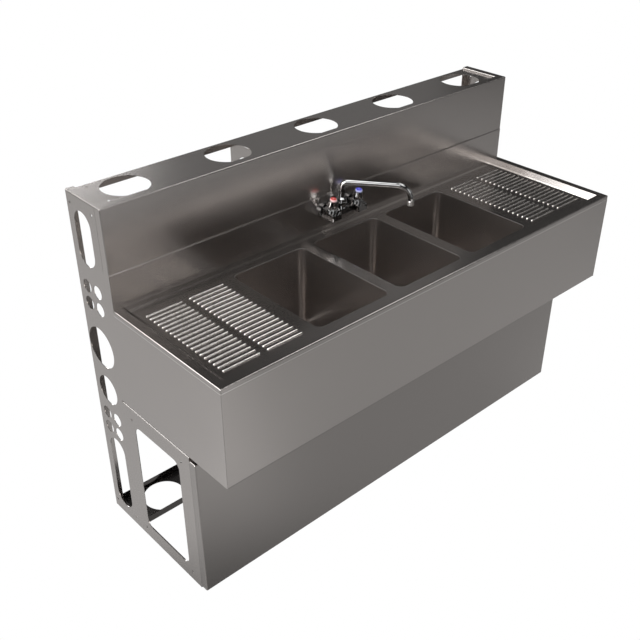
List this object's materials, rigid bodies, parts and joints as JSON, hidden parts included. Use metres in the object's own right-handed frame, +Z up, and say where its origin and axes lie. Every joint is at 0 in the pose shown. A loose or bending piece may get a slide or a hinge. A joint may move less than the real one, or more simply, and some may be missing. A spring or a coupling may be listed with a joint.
{
  "type": "underbar sink",
  "caption": "Underbar steel sink with bowls between ribbed drainboards, splash faucet with swing spout, open-backed die wall with pipe chases, and a pedestal base.",
  "frame": {"origin": "on the floor under the middle of the unit's box", "axes": "+X along the unit to the user's right, +Y towards the open back, +Z up"},
  "size_m": [1.524, 0.6036, 1.041],
  "materials": {
    "sink_steel": "brushed along the unit",
    "frame_steel": "brushed",
    "inner_steel": "mill",
    "bowl_steel": "satin",
    "basket_steel": "polished",
    "chrome": "polished",
    "zinc": "zinc plated",
    "black_rubber": "matte",
    "index_red": "gloss",
    "index_blue": "gloss"
  },
  "bodies": {
    "root": {"die_top_channel": "frame_steel", "die_bottom_channel": "frame_steel", "die_front_panel": "frame_steel", "die_end_panel_left": "frame_steel", "die_end_panel_right": "frame_steel", "die_stud_left": "frame_steel", "die_stud_right": "frame_steel", "sink_deck": "sink_steel", "sink_splash": "sink_steel", "sink_apron": "sink_steel", "sink_side_left": "sink_steel", "sink_side_right": "sink_steel", "sink_rear_rail": "inner_steel", "drainboard_stiffener_left": "inner_steel", "drainboard_stiffener_right": "inner_steel", "bowl_left": "bowl_steel", "bowl_centre": "bowl_steel", "bowl_right": "bowl_steel", "drain_body_left": "chrome", "drain_body_centre": "chrome", "drain_body_right": "chrome", "drain_gaskets": "black_rubber", "seat_strips": "black_rubber", "drain_locknuts": "zinc", "drain_tailpiece_left": "chrome", "drain_tailpiece_centre": "chrome", "drain_tailpiece_right": "chrome", "tailpiece_nuts": "chrome", "base_end_panel_left": "frame_steel", "base_end_panel_right": "frame_steel", "base_rail_top": "frame_steel", "base_rail_bottom": "frame_steel", "frame_bolts": "zinc", "frame_nuts": "zinc", "faucet_body": "chrome", "faucet_wall_flanges": "chrome", "shank_locknuts": "chrome", "spout_nut": "chrome", "inlet_shank_hot": "chrome", "inlet_shank_cold": "chrome", "valve_bonnet_hot": "chrome", "valve_bonnet_cold": "chrome"},
    "spout": {"spout": "chrome", "aerator": "chrome"},
    "hot_handle": {"valve_handle_hot": "chrome", "valve_stem_hot": "chrome", "index_button_hot": "index_red"},
    "cold_handle": {"valve_handle_cold": "chrome", "valve_stem_cold": "chrome", "index_button_cold": "index_blue"},
    "left_basket": {"strainer_basket_left": "basket_steel"},
    "centre_basket": {"strainer_basket_centre": "basket_steel"},
    "right_basket": {"strainer_basket_right": "basket_steel"},
    "base_panel": {"base_front_panel": "sink_steel", "panel_hooks": "zinc"}
  },
  "joints": [
    {"name": "spout_swing", "type": "hinge", "parent": "root", "child": "spout", "pos_m": [0, 0.1177, 0.836], "axis": [0, 0, 1], "range_deg": [-130, 50]},
    {"name": "hot_turn", "type": "hinge", "parent": "root", "child": "hot_handle", "pos_m": [-0.0508, 0.1087, 0.826], "axis": [0, -0.2588, 0.9659], "range_deg": [0, 90]},
    {"name": "cold_turn", "type": "hinge", "parent": "root", "child": "cold_handle", "pos_m": [0.0508, 0.1087, 0.826], "axis": [0, -0.2588, 0.9659], "range_deg": [-90, 0]},
    {"name": "left_basket_lift", "type": "slide", "parent": "root", "child": "left_basket", "axis": [0, 0, 1], "range_m": [0, 0.31]},
    {"name": "centre_basket_lift", "type": "slide", "parent": "root", "child": "centre_basket", "axis": [0, 0, 1], "range_m": [0, 0.31]},
    {"name": "right_basket_lift", "type": "slide", "parent": "root", "child": "right_basket", "axis": [0, 0, 1], "range_m": [0, 0.31]},
    {"name": "base_panel_lift", "type": "slide", "parent": "root", "child": "base_panel", "axis": [0, 0, 1], "range_m": [0, 0.0095]}
  ]
}
